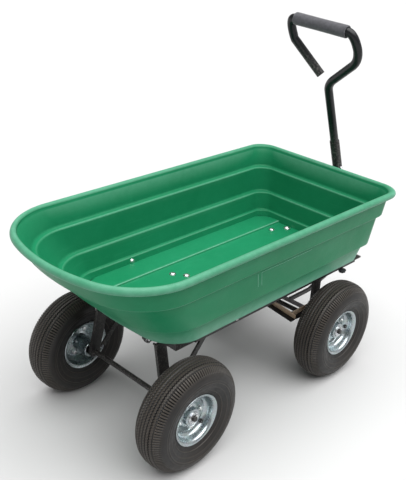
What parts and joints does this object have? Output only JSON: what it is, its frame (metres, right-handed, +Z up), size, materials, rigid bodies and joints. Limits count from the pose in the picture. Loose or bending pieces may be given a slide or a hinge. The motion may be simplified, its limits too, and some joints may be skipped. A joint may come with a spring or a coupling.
{
  "type": "garden cart",
  "caption": "Four-wheeled garden cart with a tipping plastic tray on a steel frame, steered front axle, pneumatic tyres and a folding pull handle.",
  "frame": {"origin": "on the ground, in the middle of the overall length and width with the handle as pictured", "axes": "+X towards the pull handle (front), +Y to the left-hand side, +Z up"},
  "size_m": [1.1082, 0.47, 0.8897],
  "materials": {
    "tray_green": "satin moulded polyethylene",
    "frame_black": "satin black powder coat",
    "bright_steel": "zinc plated",
    "rim_zinc": "bright zinc plated pressed steel",
    "tyre_black": "matt black rubber",
    "grip_foam": "closed cell foam"
  },
  "bodies": {
    "chassis": {"rear_cross_member": "frame_black", "middle_cross_member": "frame_black", "bolster_cross_member": "frame_black", "front_cross_member": "frame_black", "side_rail_left": "frame_black", "side_rail_right": "frame_black", "rear_leg_left": "frame_black", "rear_leg_right": "frame_black", "rear_brace_left": "frame_black", "rear_brace_right": "frame_black", "tip_bracket_left": "frame_black", "tip_bracket_right": "frame_black", "tip_pivot_rod": "bright_steel", "rear_axle": "frame_black", "bolster_plate": "frame_black", "kingpin": "bright_steel", "axle_washer_rear_left": "bright_steel", "axle_washer_rear_right": "bright_steel"},
    "tray_body": {"tray": "tray_green", "tray_bolt_left_1": "bright_steel", "tray_bolt_left_2": "bright_steel", "tray_bolt_left_3": "bright_steel", "tray_bolt_right_1": "bright_steel", "tray_bolt_right_2": "bright_steel", "tray_bolt_right_3": "bright_steel", "tray_strap_left": "frame_black", "tray_strap_right": "frame_black", "latch_bracket": "frame_black", "latch_pin": "bright_steel", "latch_spring": "bright_steel"},
    "latch": {"latch_lever": "bright_steel"},
    "truck": {"turntable_plate": "frame_black", "truck_beam": "frame_black", "front_axle": "frame_black", "front_leg_left": "frame_black", "front_leg_right": "frame_black", "truck_side_left": "frame_black", "truck_side_right": "frame_black", "truck_rear_bar": "frame_black", "truck_cross_bar": "frame_black", "tongue_left": "frame_black", "tongue_right": "frame_black", "handle_pin": "bright_steel", "axle_washer_front_left": "bright_steel", "axle_washer_front_right": "bright_steel"},
    "handle": {"handle_lower_tube": "frame_black", "handle_loop": "frame_black", "handle_grip": "grip_foam"},
    "wheel_rear_left": {"tyre_rear_left": "tyre_black", "rim_rear_left": "rim_zinc", "bearing_rear_left": "bright_steel"},
    "wheel_rear_right": {"tyre_rear_right": "tyre_black", "rim_rear_right": "rim_zinc", "bearing_rear_right": "bright_steel"},
    "wheel_front_left": {"tyre_front_left": "tyre_black", "rim_front_left": "rim_zinc", "bearing_front_left": "bright_steel"},
    "wheel_front_right": {"tyre_front_right": "tyre_black", "rim_front_right": "rim_zinc", "bearing_front_right": "bright_steel"}
  },
  "joints": [
    {"name": "tray_tip", "type": "hinge", "parent": "chassis", "child": "tray_body", "pos_m": [-0.34012, 0, 0.276], "axis": [0, -1, 0], "range_deg": [0, 75]},
    {"name": "truck_steer", "type": "hinge", "parent": "chassis", "child": "truck", "pos_m": [0.21588, 0, 0.257], "axis": [0, 0, 1], "range_deg": [-25, 25]},
    {"name": "handle_tilt", "type": "hinge", "parent": "truck", "child": "handle", "pos_m": [0.54188, 0, 0.197], "axis": [0, 1, 0], "range_deg": [0, 112]},
    {"name": "latch_release", "type": "hinge", "parent": "tray_body", "child": "latch", "pos_m": [0.31388, 0, 0.275], "axis": [0, -1, 0], "range_deg": [0, 20], "stiffness_Nm_per_rad": 0.15, "springref_deg": -20.05},
    {"name": "wheel_rear_left_spin", "type": "hinge", "parent": "chassis", "child": "wheel_rear_left", "pos_m": [-0.32012, 0.19, 0.12948], "axis": [0, 1, 0], "continuous": true},
    {"name": "wheel_rear_right_spin", "type": "hinge", "parent": "chassis", "child": "wheel_rear_right", "pos_m": [-0.32012, -0.19, 0.12948], "axis": [0, 1, 0], "continuous": true},
    {"name": "wheel_front_left_spin", "type": "hinge", "parent": "truck", "child": "wheel_front_left", "pos_m": [0.21588, 0.19, 0.12948], "axis": [0, 1, 0], "continuous": true},
    {"name": "wheel_front_right_spin", "type": "hinge", "parent": "truck", "child": "wheel_front_right", "pos_m": [0.21588, -0.19, 0.12948], "axis": [0, 1, 0], "continuous": true}
  ]
}
